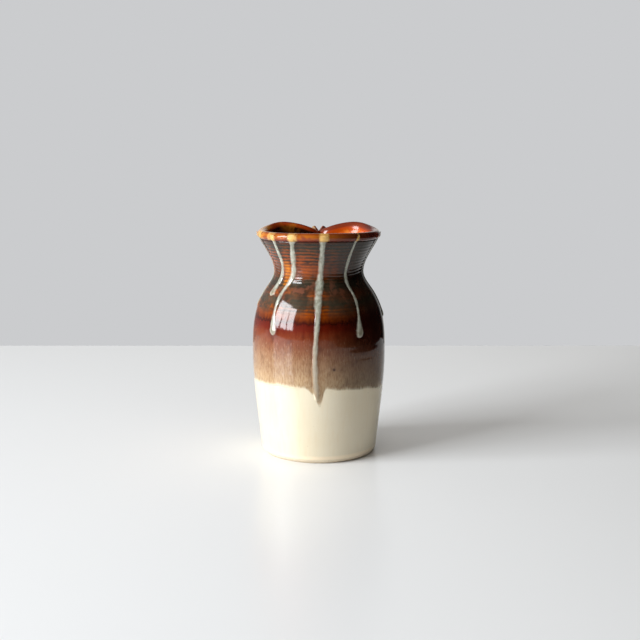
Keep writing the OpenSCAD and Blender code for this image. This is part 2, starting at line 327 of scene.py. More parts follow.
# %% Turning a piece
def turned(name, outline, steps):
    """Extrudes a point round a closed outline of (radius, height) and spins it once round."""
    bpy.ops.object.select_all(action="DESELECT")
    bpy.ops.mesh.primitive_plane_add(size=0.001)
    piece = bpy.context.object
    piece.name = name
    piece.data.name = name
    bpy.ops.object.mode_set(mode="EDIT")
    bpy.ops.mesh.select_all(action="SELECT")
    bpy.ops.mesh.merge(type="CENTER")
    r, z = outline[0]
    bpy.ops.transform.translate(value=(0, r * MM, z * MM))
    for r1, z1 in list(outline[1:]) + [outline[0]]:
        step = {"value": (0, (r1 - r) * MM, (z1 - z) * MM)}
        bpy.ops.mesh.extrude_vertices_move(TRANSFORM_OT_translate=step)
        r, z = r1, z1
    bpy.ops.mesh.select_all(action="SELECT")
    bpy.ops.mesh.remove_doubles(threshold=1e-6)
    bpy.ops.mesh.spin(steps=steps, angle=2 * math.pi, center=(0, 0, 0), axis=(0, 0, 1))
    bpy.ops.mesh.select_all(action="SELECT")
    bpy.ops.mesh.remove_doubles(threshold=2e-6)
    bpy.ops.mesh.normals_make_consistent(inside=False)
    bpy.ops.object.mode_set(mode="OBJECT")
    bpy.ops.object.shade_smooth()
    bpy.ops.object.transform_apply(location=True, rotation=True, scale=True)
    print(name, len(piece.data.polygons), "faces")
    return piece


def points_of(piece):
    """Bearing, radius and height of every point."""
    flat = np.empty(3 * len(piece.data.vertices))
    piece.data.vertices.foreach_get("co", flat)
    x, y, z = flat.reshape(-1, 3).T / MM
    return np.degrees(np.arctan2(x, y)), np.hypot(x, y), z


def put_points(piece, x, y, z):
    piece.data.vertices.foreach_set("co", (np.stack([x, y, z], axis=1) * MM).ravel())
    piece.data.update()


def note(piece, name, values):
    """Keeps one number per point, for the glaze to read."""
    kept = piece.data.attributes.new(name, "FLOAT", "POINT")
    kept.data.foreach_set("value", np.asarray(values, dtype=np.float32))


def heights(low, high, step):
    return np.linspace(low, high, max(2, int(round((high - low) / step)) + 1))


# %% [markdown]
# Fingers leave a spiral of rings as they draw the clay up. On the neck they are close and sharp, on
# the belly they are wide and almost worn away. One formula gives them, from -1 in a groove to 1 on
# a crest, and another says how deep they are. They only ever cut inwards on the belly, where the
# vase is widest.

# %% Throwing rings
RING_STEP, RING_DEPTH, SWELL_DEPTH = 1.75, 0.10, 0.014


def ring_at(b, z):
    wander = 0.10 * np.sin(np.radians(3 * b + 40)) + 0.06 * np.sin(np.radians(7 * b) + 0.21 * z)
    wander = wander + 0.05 * np.sin(np.radians(13 * b) - 0.5 * z)
    return np.sin(2 * np.pi * (z / RING_STEP + b / 360 + wander))


def swell_at(b, z):
    wide = np.sin(2 * np.pi * (z / 5.2 + b / 360 + 0.12 * np.sin(np.radians(2 * b))))
    return wide + 0.5 * np.sin(2 * np.pi * (z / 2.9 + 0.3))


def ring_cut(b, z):
    """How far the surface moves outwards, in millimetres."""
    neck = smooth((z - 97) / 6) * (1 - smooth((z - 120.5) / 2.0))
    body = smooth((z - 8) / 10) * (1 - smooth((z - 96) / 6))
    uneven = 0.75 + 0.25 * np.sin(0.9 * z + np.radians(b))
    return neck * RING_DEPTH * uneven * ring_at(b, z) + body * SWELL_DEPTH * (swell_at(b, z) - 1.5)


sample = ring_cut(np.zeros(200), np.linspace(106, 116, 200))
print("ring depth on the neck", round(float(np.ptp(sample)), 2), "mm")

# %% [markdown]
# The thrown wall is the clay itself. Nearly all of it is under glaze: only the foot ring, its bevel
# and the hollow cut into the base are bare. The foot is trimmed on the wheel, so it carries fine
# turning lines.

# %% Thrown wall
def lip_outside(coat, count=14):
    a = np.radians(np.linspace(-75, 90, count))
    return list(zip(LIP_MID + (LIP_R + coat) * np.cos(a), LIP_Z + (LIP_R + coat) * np.sin(a)))


def lip_inside(coat, count=14):
    """From under the lip up to its top, inside the mouth."""
    a = np.radians(np.linspace(80, 0, count))[:-1]
    reach, drop = LIP_MID - float(inner_r(FLARE_Z)), RIM_Z - FLARE_Z
    return list(zip(LIP_MID - (reach + coat) * np.sin(a), FLARE_Z + (drop + coat) * np.cos(a)))


def heel(coat):
    """Rounded inside corner, from the wall down to the floor."""
    a = np.radians(np.linspace(0, 90, 10))
    r = HEEL_R - coat
    middle = float(inner_r(FLOOR_Z + HEEL_R)) - HEEL_R
    return list(zip(middle + r * np.cos(a), FLOOR_Z + HEEL_R - r * np.sin(a)))


ring_in = FOOT_R - FOOT_BEVEL - FOOT_RING
outside = [(float(outer_r(z)), z) for z in list(heights(1.7, 12, 0.5)) + list(heights(13, 122.6, 1.8))]
inside = [(float(inner_r(z)), z) for z in heights(FLOOR_Z + HEEL_R + 1, 122.6, 2.0)]
under = [(0, FOOT_HOLLOW)] + [(r, FOOT_HOLLOW) for r in heights(3, ring_in - 2.4, 0.6)]
under += [(ring_in - 1.2, 1.1), (ring_in - 0.3, 0.2), (ring_in + 0.6, 0)]
under += [(r, 0) for r in heights(ring_in + 1.6, FOOT_R - FOOT_BEVEL - 0.5, 1.0)]
under += [(FOOT_R - FOOT_BEVEL, 0.12), (FOOT_R - 0.7, 0.95), (FOOT_R - 0.12, 1.5)]
lip = lip_outside(0) + lip_inside(0)[::-1]
wall = turned("thrown_wall", under + outside + lip + inside[::-1] + heel(0) + [(0, FLOOR_Z)], 144)
b, r, z = points_of(wall)
turning = 0.05 * np.sin(2 * np.pi * (r / 1.7 + b / 360)) * (z < 1.6) * (z > 1.3) * (r < ring_in - 2)
x, y, z = squeeze(b, r, z + turning)
put_points(wall, x, y, z)
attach(wall, "root")
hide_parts("clay_body")
bpy.ops.object.shade_smooth_by_angle(angle=math.radians(50))

# %% [markdown]
# The liner is the amber glaze that was poured in and swilled round. It covers the floor and the
# inside wall and meets the outer glaze on top of the lip. It is a thin closed shell, so its outline
# goes up the clay side and comes back down the glass side. Its bearing is kept as a turn, from 0 at
# the back to 180 at the front, and a side, from -1 to 1, because a bearing that jumps from 180 to
# -180 would leave a line down the front.

# %% Liner coat
clay_side = [(0, FLOOR_Z)] + heel(0)[::-1] + [(float(inner_r(z)), z) for z in heights(17, 122.6, 4.0)]
clay_side += lip_inside(0) + [(LIP_MID, RIM_Z)]
steps = np.concatenate([heights(17, 96, 1.6), heights(96.4, 122.6, 0.4)])
glass_side = [(LIP_MID, RIM_Z + GLAZE)] + lip_inside(GLAZE)[::-1]
glass_side += [(float(inner_r(z)) - GLAZE, z) for z in steps[::-1]] + heel(GLAZE) + [(0, FLOOR_Z + GLAZE)]
liner = turned("liner_coat", clay_side + glass_side, 192)
b, r, z = points_of(liner)
glassy = (r < inner_r(z) - 0.2) & (z > 18)
fade = 1 - smooth((z - 112) / 6)
spiral = 1 + np.sin(2 * np.pi * (z / 2.6 + b / 360 + 0.1 * np.sin(np.radians(3 * b))))
r = r + np.where(glassy, -0.09 * fade * spiral, 0)
note(liner, "height", z)
note(liner, "turn", np.abs(b))
note(liner, "side", np.sin(np.radians(b)))
x, y, z = squeeze(b, r, z)
put_points(liner, x, y, z)
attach(liner, "root")
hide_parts("liner_glaze")

# %% [markdown]
# The vase was dipped upside down into the brown glaze, held a little crooked, so the line where
# brown meets cream is tilted and slightly scalloped, and a tongue hangs down where the longest run
# carried the brown with it. The line is a height for each azimuth, counted from the front, -Y,
# towards +X.

# %% The dip line
def azimuth_of(b):
    """From a bearing, counted from the back, to an azimuth, counted from the front, or back again."""
    return np.where(b >= 0, 180 - b, -180 - b)


def dip_line(phi):
    rad = np.radians(phi)
    line = 39.35 - 2.05 * np.sin(rad) + 4.05 * np.cos(rad)
    line = line + 0.22 * np.sin(9 * rad + 1.0) + 0.16 * np.sin(17 * rad) + 0.08 * np.sin(31 * rad + 2)
    tongue = 9.8 * np.exp(-((np.abs(phi - 0.8) / 3.3) ** 2.6))
    shoulder = 2.6 * np.exp(-(((phi + 5) / 3.8) ** 2))
    return line - (tongue + shoulder)


print("dip line at front, right and left", np.round(dip_line(np.array([14.0, 90.0, -90.0])), 1))

# %% [markdown]
# Under the rim ten blobs of pale glaze were trailed, and in the kiln they ran down. Each run is
# listed from top to bottom as height, azimuth and width. The same list tells the brown coat where
# to swell a little, so that the runs look melted in and not laid on.

# %% Paths of the runs
RUNS = {
    "run_front": [
        (126.8, 5.0, 5.4), (122, 3.9, 4.0), (111, 3.2, 3.8), (105, 2.2, 4.2), (100, 0.9, 5.2),
        (96, 0.0, 6.2), (91, -0.9, 5.0), (84, -0.6, 3.8), (77, -1.5, 3.6), (69, -2.6, 3.4),
        (60, -3.1, 3.6), (50, -3.0, 4.0), (44, -2.3, 4.0), (37, -1.2, 3.0),
    ],
    "run_front_right": [
        (126.6, 39.5, 1.6), (122.5, 36.8, 2.0), (117, 36, 2.4), (105, 36.2, 2.8), (100, 36.6, 2.8),
        (95, 39.5, 2.6), (90, 40, 2.2), (82, 38.2, 2.1), (78, 37.6, 3.6), (75, 37.4, 6.8),
        (71, 37.0, 6.8),
    ],
    "run_right": [
        (126.6, 84, 2.6), (110, 84, 2.4), (96, 86, 2.6), (84, 87, 2.4), (78, 87, 3.0),
    ],
    "run_back_right": [
        (126.6, 121, 3.2), (104, 121, 3.0), (90, 118, 3.2), (68, 117, 2.6), (58, 117, 3.8),
    ],
    "run_right_of_fold": [
        (122.6, 149, 2.6), (104, 150, 2.4), (92, 151, 2.4), (86, 151, 3.2),
    ],
    "run_left_of_fold": [
        (122.6, -150, 2.8), (104, -149, 2.6), (84, -147, 2.4), (72, -147, 3.6),
    ],
    "run_back_left": [
        (126.6, -117, 3.4), (104, -118, 3.2), (80, -120, 2.8), (60, -120, 3.8),
    ],
    "run_left": [
        (126.6, -88, 2.6), (106, -88, 2.4), (92, -86, 2.4), (84, -86, 3.2),
    ],
    "run_left_short": [
        (126.6, -47, 3.6), (120, -47.5, 3.4), (111, -49, 3.4), (106, -52.5, 3.4), (101, -56.7, 3.8),
        (97, -58.5, 5.4), (92, -59, 6.8),
    ],
    "run_front_left": [
        (126.8, -25, 5.6), (122, -26, 4.0), (117.5, -28, 3.8), (111.5, -31, 4.4), (107, -32.5, 4.8),
        (103.4, -35.2, 4.6), (99.5, -39.5, 4.0), (95.5, -43.2, 3.6), (91, -44.8, 3.0), (84, -44.2, 2.6),
        (78, -43.6, 4.4), (75, -43.0, 6.6), (72, -42.4, 6.6),
    ],
}


def run_at(name, z):
    """Azimuth and half width of a run at a height."""
    rows = sorted(RUNS[name])
    zs, phis, widths = (np.array(column, float) for column in zip(*rows))
    fine = np.linspace(zs[0], zs[-1], 200)
    soft = np.hanning(25) / np.hanning(25).sum()
    pad = lambda line: np.convolve(np.pad(np.interp(fine, zs, line), 12, mode="edge"), soft, mode="valid")
    return np.interp(z, fine, pad(phis)), np.interp(z, fine, pad(widths)) / 2


def near_run(phi, r, z, reach=1.6):
    """1 beside a run, falling to 0 within about twice the reach in millimetres."""
    best = np.zeros_like(z)
    for name, rows in RUNS.items():
        low, high = rows[-1][0], rows[0][0]
        line, half = run_at(name, np.clip(z, low, high))
        across = np.radians((phi - line + 180) % 360 - 180) * r
        past = np.maximum(0, low - z) + np.maximum(0, z - high)
        gap = np.hypot(np.maximum(0, np.abs(across) - half * 0.8), past)
        best = np.maximum(best, np.exp(-((gap / reach) ** 2)))
    return best


print(len(RUNS), "runs, the longest", RUNS["run_front"][0][0] - RUNS["run_front"][-1][0], "mm")

# %% [markdown]
# The cream coat covers the lower third. Its lower edge is a soft roll just above the foot, and its
# upper edge thins out under the brown, so no clay shows between them.

# %% Cream coat
# How much painted shade darkens the brown at each azimuth: little towards the window at the left, most on the
# right, away from it.
SHADE_AZIMUTHS = [-90, -55, -12, 15, 32, 55, 110, 160, 215, 270]
SHADE_AMOUNTS = [0.12, 0.08, 0.14, 0.58, 0.84, 1.0, 0.95, 0.6, 0.35, 0.12]


def shaded_by(phi):
    """Share of painted shade on the brown: 0 towards the window at the left, 1 on the right, away from it."""
    turn = np.where(phi < -90, 360 + phi, phi)
    return np.interp(turn, SHADE_AZIMUTHS, SHADE_AMOUNTS)


def cream_lift(z, edge):
    foot = np.sqrt(np.clip(1 - np.clip((3.4 - z) / 1.2, 0, 1) ** 2, 0, 1))
    return GLAZE * foot * between(1, 0.2, smooth((z - edge + 0.5) / 4.5))


up = [(float(outer_r(z)), z) for z in heights(2.2, 46, 2.0)]
steps = np.concatenate([[2.2, 2.3, 2.45, 2.7, 3.0], heights(3.5, 30, 0.9), heights(30.6, 46, 0.6)])
down = [(float(outer_r(z)) + GLAZE, z) for z in steps]
cream = turned("cream_coat", down + up[::-1], 240)
b, r, z = points_of(cream)
phi = azimuth_of(b)
edge = dip_line(phi)
glassy = r > outer_r(z) + 0.2
z = np.where(z > 30, between(30, edge + 4, (z - 30) / 16), z)
z = z + 0.10 * np.sin(np.radians(5 * b)) * (1 - smooth((z - 2.2) / 3)) * (z > 2.25)
r = outer_r(z) + np.where(glassy, cream_lift(z, edge) + ring_cut(b, z), 0)
note(cream, "height", z)
note(cream, "above_dip", z - edge)
x, y, z = squeeze(b, r, z)
put_points(cream, x, y, z)
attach(cream, "root")
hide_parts("cream_glaze")

# %% [markdown]
# The brown coat goes from the dip line up over the outer half of the lip. It starts as a feather on
# the cream and thickens within a few millimetres. It carries the throwing rings of the neck in its
# own shape, because the glaze breaks orange on every crest.

# %% Brown coat
def note_coat(piece, b, phi, z):
    """What the brown glaze reads on the coat and on every run."""
    note(piece, "height", z)
    note(piece, "above_dip", z - dip_line(phi))
    note(piece, "ring", ring_at(b, z))
    # Share of painted shade: the brown is painted darker on the side away from the window.
    note(piece, "shade_share", shaded_by(phi))
    note(piece, "azimuth", phi)
    note(piece, "facing", np.cos(np.radians(phi)))


steps = np.concatenate([heights(36, 60, 0.6), heights(61, 97, 0.9), heights(97.3, 122.6, 0.3)])
up = [(float(outer_r(z)) + GLAZE, z) for z in steps]
down = [(float(outer_r(z)), z) for z in heights(36, 122.6, 4.0)]
brown = turned("brown_coat", up + lip_outside(GLAZE, 18) + lip_outside(0, 8)[::-1] + down[::-1], 240)
b, r, z = points_of(brown)
phi = azimuth_of(b)
edge = dip_line(phi)
below_lip = z <= 122.65
glassy = below_lip & (r > outer_r(z) + 0.2)
z = np.where(z < 60, between(edge, 60, (z - 36) / 24), z)
halo = near_run(phi, np.maximum(r, 20), z)
feather = between(cream_lift(z, edge) + 0.02, GLAZE, smooth((z - edge) / 4))
coat = feather + ring_cut(b, z) * between(1, 0.35, halo) + 0.07 * halo * smooth((z - 62) / 6)
r = np.where(below_lip, outer_r(z) + np.where(glassy, coat, 0), r)
note_coat(brown, b, phi, z)
note(brown, "halo", halo)
note(brown, "near", near_run(phi, np.maximum(r, 20), z, 4.5))
x, y, z = squeeze(b, r, z)
put_points(brown, x, y, z)
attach(brown, "root")
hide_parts("brown_glaze")

# %% [markdown]
# A run is a low ridge with soft edges and a heavier drop at its end. Each one starts as a sphere.
# Its rings become the steps down the run, and its upper half becomes the ridge. Then each point is
# carried on to the surface of the coat, over the lip and down the neck.

# %% Runs
RUN_HEIGHT = 0.46


def coat_r(z):
    """Outer radius of the brown coat, over the bulge of the lip as well."""
    flare = outer_r(z) + GLAZE
    bulge = LIP_MID + np.sqrt(np.clip((LIP_R + GLAZE) ** 2 - (z - LIP_Z) ** 2, 0, None))
    over_lip = between(flare, np.maximum(flare, bulge), smooth((z - 122.2) / 1.4))
    return over_lip - 0.9 * smooth((z - 126.2) / 1.0)


def rounded(share):
    """From 0 to 1 along a quarter of a circle."""
    return np.sqrt(np.clip(1 - np.clip(1 - share, 0, 1) ** 2, 0, 1))


def glaze_run(name):
    bpy.ops.object.select_all(action="DESELECT")
    bpy.ops.mesh.primitive_uv_sphere_add(segments=32, ring_count=110, radius=1)
    run = bpy.context.object
    run.name = name.replace("run", "drip", 1)
    run.data.name = run.name
    flat = np.empty(3 * len(run.data.vertices))
    run.data.vertices.foreach_get("co", flat)
    sx, sy, sz = flat.reshape(-1, 3).T
    top, low = RUNS[name][0][0], RUNS[name][-1][0]
    t = np.arccos(np.clip(sz, -1, 1)) / math.pi
    t = between(t, (1 - sz) / 2, 0.55)
    z = between(top, low, t)
    line, half = run_at(name, z)
    close = rounded((z - low) / half) * rounded((top - z) / 1.2)
    angle = np.arctan2(sy, sx)
    side = np.cos(angle)
    ripple = 1 + 0.10 * np.sin(0.55 * z + len(name)) + 0.05 * np.sin(1.7 * z)
    half = half * close * ripple + 0.02
    bell = (1 - side**2) ** 1.25
    swell = 1 + 0.5 * np.exp(-(((z - low - 2.2) / 2.4) ** 2))
    thinner = 0.35 * (name == "run_front") * smooth((60 - z) / 12)
    tall = RUN_HEIGHT * close * np.clip((top - z) / 6 + 0.35, 0, 1) * swell * (1 - thinner)
    out = np.where(np.sin(angle) >= 0, tall * bell, -0.12 - 0.1 * np.abs(np.sin(angle)))
    base = coat_r(z)
    phi = line + np.degrees(side * half / base)
    b = azimuth_of(phi)
    note_coat(run, b, phi, z)
    note(run, "halo", np.ones_like(z))
    note(run, "near", np.ones_like(z))
    note(run, "crest", np.where(np.sin(angle) >= 0, bell * np.clip(close * 1.2, 0, 1), 0))
    note(run, "drop", np.exp(-(((z - low - 2.4) / 2.0) ** 2)) * (name != "run_front"))
    x, y, z = squeeze(b, base + out, z)
    put_points(run, x, y, z)
    bpy.ops.object.mode_set(mode="EDIT")
    bpy.ops.mesh.select_all(action="SELECT")
    bpy.ops.mesh.normals_make_consistent(inside=False)
    bpy.ops.object.mode_set(mode="OBJECT")
    bpy.ops.object.shade_smooth()
    bpy.ops.object.transform_apply(location=True, rotation=True, scale=True)
    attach(run, "root")
    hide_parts(name)
    return run


drips = [glaze_run(name) for name in RUNS]
print("drips", [d.name for d in drips])

# %% [markdown]
# The finishes are built from nodes. These helpers add a node with its settings, mix two colours and
# spread colours over a range of numbers, so that each glaze below reads as a short recipe.

# %% Helpers for finishes
def start(name):
    finish = bpy.data.materials.new(name)
    finish.use_nodes = True
    finish.node_tree.nodes.clear()
    return finish, finish.node_tree


def plug(tree, socket, value):
    """Puts a plain value or another node's output on a socket."""
    if isinstance(value, bpy.types.NodeSocket):
        tree.links.new(value, socket)
    else:
        socket.default_value = value


def add(tree, kind, sockets=None, **settings):
    """A node, with values or other nodes' outputs on its sockets."""
    made = tree.nodes.new("ShaderNode" + kind)
    for key, value in settings.items():
        setattr(made, key, value)
    for key, value in (sockets or {}).items():
        plug(tree, made.inputs[key], value)
    return made


def read(tree, name):
    return add(tree, "Attribute", attribute_name=name).outputs["Fac"]


def spread(tree, value, low, high, to_low=0.0, to_high=1.0):
    """Smoothly from to_low to to_high as value goes from low to high."""
    numbers = {"Value": value, "From Min": low, "From Max": high, "To Min": to_low, "To Max": to_high}
    return add(tree, "MapRange", numbers, interpolation_type="SMOOTHSTEP").outputs[0]


def blend(tree, share, a, b, how="MIX"):
    """Two colours, mixed by a share of the second."""
    made = add(tree, "Mix", data_type="RGBA", blend_type=how)
    plug(tree, made.inputs[0], share)
    for key, colour in ((6, a), (7, b)):
        plug(tree, made.inputs[key], (*colour, 1) if isinstance(colour, tuple) else colour)
    return made.outputs[2]


def ramp(tree, value, low, high, stops):
    """Colours at given places between low and high."""
    share = add(tree, "MapRange", {"Value": value, "From Min": low, "From Max": high}).outputs[0]
    made = add(tree, "ValToRGB", {0: share})
    bar = made.color_ramp.elements
    while len(bar) < len(stops):
        bar.new(0.5)
    for stop, (place, colour) in zip(bar, stops):
        stop.position = (place - low) / (high - low)
        stop.color = (*colour, 1)
    return made.outputs[0]


def grain(tree, scale, stretch=(1, 1, 1), detail=3.0, shift=0.0):
    """Noise on the piece's own coordinates, stretched along the axes."""
    place = add(tree, "TexCoord").outputs["Object"]
    moved = add(tree, "Mapping", {"Vector": place, "Scale": stretch, "Location": (shift, shift, shift)})
    numbers = {"Vector": moved.outputs[0], "Scale": scale, "Detail": detail, "Roughness": 0.55}
    return add(tree, "TexNoise", numbers).outputs[0]


def glossy(tree, colour, roughness, dents, strength, ior=1.5):
    """Ends a recipe: a shiny dielectric with small dents."""
    bump = add(tree, "Bump", {"Height": dents, "Strength": strength, "Distance": 0.0004})
    looks = {"Base Color": colour, "Roughness": roughness, "Normal": bump.outputs[0]}
    shader = add(tree, "BsdfPrincipled", looks)
    shader.inputs["IOR"].default_value = ior
    add(tree, "OutputMaterial", {"Surface": shader.outputs[0]})


print("helpers ready")

# %% [markdown]
# A recipe also does sums. A share is a number from 0 to 1, and shares are multiplied to keep a
# colour to the places where all of them hold. A wobble is noise that swings to both sides of zero.

# %% Helpers for shares
def sums(tree, how, a, b):
    return add(tree, "Math", {0: a, 1: b}, operation=how).outputs[0]


def plus(tree, a, b):
    return sums(tree, "ADD", a, b)


def times(tree, first, *others):
    total = first
    for other in others:
        total = sums(tree, "MULTIPLY", total, other)
    return total


def less(tree, most, value, share=1.0):
    """The most there can be, less a share of a value."""
    return sums(tree, "SUBTRACT", most, times(tree, value, share))


def within(tree, value, rise, fall):
    """A share that rises between two places and falls between two others."""
    return times(tree, spread(tree, value, *rise), spread(tree, value, *fall))


def wobble(tree, amount, scale, **settings):
    return times(tree, sums(tree, "SUBTRACT", grain(tree, scale, **settings), 0.5), amount)


print("shares ready")

# %% [markdown]
# The bare clay is a pale buff stoneware, fired hard. It is dry to the touch, a little sandy, with
# tiny iron specks.

# %% Clay finish
clay_finish, tree = start("bare_stoneware")
blotch = grain(tree, 60, detail=2)
sand = grain(tree, 1800, detail=2)
body = blend(tree, blotch, (0.74, 0.61, 0.44), (0.84, 0.74, 0.57))
body = blend(tree, spread(tree, sand, 0.35, 0.65, 0.0, 0.22), body, (0.62, 0.47, 0.32))
specks = spread(tree, grain(tree, 900, detail=1, shift=3.0), 0.70, 0.76, 0.0, 0.8)
body = blend(tree, specks, body, (0.12, 0.06, 0.03))
glossy(tree, body, spread(tree, sand, 0.3, 0.7, 0.62, 0.85), sand, 0.5)
wall.data.materials.append(clay_finish)
print(clay_finish.name, len(tree.nodes), "nodes")

# %% [markdown]
# The cream glaze is a glossy ivory. It varies very slightly, is warmer where it is thin above the
# foot and painted lighter there as painted bounce light from the table, and has a few pinholes and
# faint specks.

# %% Cream finish
def cream_colour(tree):
    cloud = grain(tree, 45)
    colour = blend(tree, spread(tree, cloud, 0.35, 0.7), (0.785, 0.685, 0.50), (0.80, 0.71, 0.535))
    streak = grain(tree, 500, stretch=(1, 1, 0.08), detail=2)
    colour = blend(tree, spread(tree, streak, 0.45, 0.75, 0.0, 0.35), colour, (0.77, 0.63, 0.42))
    speck = spread(tree, grain(tree, 420, detail=1, shift=5.0), 0.775, 0.80, 0.0, 0.25)
    return blend(tree, speck, colour, (0.42, 0.30, 0.18))


cream_finish, tree = start("cream_glaze_gloss")
colour = cream_colour(tree)
# Warmer thin glaze above the foot, painted lighter as well as painted bounce light from the table.
thin_foot_and_bounce_light = spread(tree, read(tree, "height"), 5.2, 3.6, 0.0, 0.75)
colour = blend(tree, thin_foot_and_bounce_light, colour, (0.95, 0.79, 0.57))
glossy(tree, colour, spread(tree, grain(tree, 90), 0.3, 0.7, 0.10, 0.17), grain(tree, 260, detail=2), 0.10)
cream.data.materials.append(cream_finish)
print(cream_finish.name, len(tree.nodes), "nodes")

# %% [markdown]
# The brown glaze changes with how thick it lies. From the dip line up it is tan and mauve with fine
# vertical streaks, then red-brown, then a dark line, then bands of orange and grey-green that follow
# the throwing rings, and amber on the lip. Two bars of colours hold the bands: one for the glaze, and
# a darker copy for the side away from the window, which is painted shade. A third holds what the
# grooves of the rings show. Each stop is a height and a colour.

# %% Bars of colour
BAR_LOW, BAR_HIGH = 36, 128
GROOVE_LOW, GROOVE_HIGH = 78, 124
AMBER, YELLOW = (0.74, 0.33, 0.055), (0.76, 0.46, 0.14)
GLAZE_BANDS = [
    (40, (0.56, 0.42, 0.25)), (48, (0.55, 0.37, 0.205)), (54, (0.43, 0.265, 0.145)),
    (60, (0.36, 0.19, 0.095)), (64, (0.29, 0.115, 0.050)), (68, (0.24, 0.066, 0.024)),
    (72, (0.22, 0.040, 0.012)), (76, (0.15, 0.012, 0.003)), (78.6, (0.12, 0.008, 0.002)),
    (79.8, (0.045, 0.003, 0.001)), (81.2, (0.12, 0.018, 0.002)), (84, (0.30, 0.055, 0.003)),
    (86.8, (0.40, 0.085, 0.003)), (88.4, (0.20, 0.050, 0.010)), (90, (0.11, 0.070, 0.042)),
    (92, (0.18, 0.070, 0.032)), (94.5, (0.38, 0.090, 0.016)), (96.6, (0.24, 0.070, 0.024)),
    (98.6, (0.065, 0.052, 0.034)), (101, (0.11, 0.070, 0.042)), (103.5, (0.24, 0.050, 0.004)),
    (107, (0.36, 0.066, 0.002)), (112, (0.33, 0.060, 0.002)), (116, (0.26, 0.050, 0.003)),
    # The dark stop at 122.4 mm, in the notch under the lip, is a painted shadow.
    (120, (0.13, 0.038, 0.008)), (122.4, (0.07, 0.016, 0.004)), (123.4, (0.16, 0.012, 0.003)),
    (124.5, (0.40, 0.085, 0.007)), (126.0, (0.50, 0.140, 0.010)), (127.5, (0.26, 0.040, 0.006)),
]
# Painted shade: the same bands painted darker, for the side away from the window.
SHADED_BANDS = [
    (38, (0.34, 0.25, 0.14)), (44, (0.17, 0.110, 0.052)), (52, (0.135, 0.070, 0.030)),
    (60, (0.095, 0.036, 0.014)), (63.5, (0.050, 0.013, 0.007)), (68, (0.022, 0.004, 0.002)),
    (76, (0.012, 0.002, 0.001)), (84, (0.014, 0.002, 0.001)), (88, (0.022, 0.006, 0.002)),
    (91, (0.010, 0.008, 0.004)), (95, (0.045, 0.009, 0.002)), (98.5, (0.010, 0.007, 0.004)),
    (103, (0.003, 0.001, 0.0005)), (108, (0.020, 0.008, 0.002)), (114, (0.026, 0.014, 0.005)),
    (120, (0.020, 0.016, 0.008)), (122.6, (0.024, 0.012, 0.006)), (123.6, (0.085, 0.010, 0.004)),
    (126.4, (0.070, 0.010, 0.005)), (127.5, (0.12, 0.02, 0.006)),
]
GROOVE = [
    (80, (0.040, 0.003, 0.001)), (84, (0.20, 0.032, 0.002)), (88, (0.10, 0.045, 0.020)),
    (91, (0.075, 0.068, 0.042)), (95, (0.17, 0.050, 0.016)), (99, (0.036, 0.036, 0.020)),
    (102, (0.040, 0.030, 0.014)), (106, (0.060, 0.016, 0.003)), (112, (0.038, 0.014, 0.004)),
    (118, (0.030, 0.024, 0.010)), (122.4, (0.014, 0.010, 0.004)),
]
print("stops on the bars", len(GLAZE_BANDS), len(SHADED_BANDS), len(GROOVE))

# %% [markdown]
# Noise pushes the bands up and down, less so on the lip. The crests of the rings break warm, and the
# grooves hold the grey-green.

# %% Bands
def ring_crest(tree):
    rough = wobble(tree, 5.5, 240, stretch=(1, 1, 2.2), shift=2.0)
    return spread(tree, plus(tree, read(tree, "ring"), rough), -0.75, 0.75)


def not_behind(tree):
    return spread(tree, read(tree, "facing"), -0.90, -0.75)


def banded(tree):
    height = read(tree, "height")
    runny = wobble(tree, 5.0, 620, stretch=(1, 1, 0.10), shift=1.0)
    shift = plus(tree, wobble(tree, 5.0, 70), runny)
    calm = spread(tree, height, 119.5, 123.0, 1.0, 0.12)
    band = plus(tree, height, times(tree, shift, calm))
    zone = within(tree, height, (80.5, 86.0), (123.2, 122.2))
    above = spread(tree, height, 108, 113, 0.45, 1.0)
    below = spread(tree, height, 104, 101, 0.45, 1.0)
    fainter_on_neck = sums(tree, "MAXIMUM", above, below)
    in_groove = times(tree, less(tree, 1.0, ring_crest(tree)), zone, fainter_on_neck)
    groove = ramp(tree, band, GROOVE_LOW, GROOVE_HIGH, GROOVE)
    warm = blend(tree, in_groove, ramp(tree, band, BAR_LOW, BAR_HIGH, GLAZE_BANDS), groove)
    # Painted shade: the darker copy of the bands is mixed in on the side away from the window.
    return blend(tree, read(tree, "shade_share"), warm, ramp(tree, band, BAR_LOW, BAR_HIGH, SHADED_BANDS))


print("bands from", BAR_LOW, "to", BAR_HIGH, "mm")

# %% [markdown]
# Between the runs the shoulder turns green and dark, and beside them it stays orange. Murky patches
# drift over the neck. An amber pool lies between two runs at the left of the neck.

# %% Shoulder and neck
def shoulder(tree, colour):
    height = read(tree, "height")
    near = plus(tree, read(tree, "near"), wobble(tree, 2.4, 130, stretch=(1, 1, 0.7), shift=15.0))
    away = times(tree, spread(tree, near, 0.75, 0.25), within(tree, height, (81.5, 86.0), (103, 98)))
    # Where the brown is painted as shade, away from the window, less of the green is mixed in.
    away = times(tree, away, less(tree, 0.7, read(tree, "shade_share"), 0.6))
    colour = blend(tree, away, colour, (0.045, 0.040, 0.026))
    murk = spread(tree, grain(tree, 95, stretch=(1, 1, 0.55), shift=17.0), 0.46, 0.62)
    murk = times(tree, murk, within(tree, height, (82, 90), (122.8, 121.5)), 0.6)
    return blend(tree, murk, colour, (0.030, 0.020, 0.012))


def amber_pool(tree, colour):
    pool = within(tree, read(tree, "azimuth"), (-50, -46), (-35, -39))
    pool = times(tree, pool, within(tree, read(tree, "height"), (96, 100), (114, 108)), not_behind(tree))
    on_crest = spread(tree, ring_crest(tree), 0.0, 0.6, 0.35, 1.0)
    return blend(tree, times(tree, pool, on_crest, 0.9), colour, (0.62, 0.19, 0.004))


print("shoulder ready")

# %% [markdown]
# Fine streaks and pale flecks run down the lower half. Brick-red patches and soft blotches lie above.

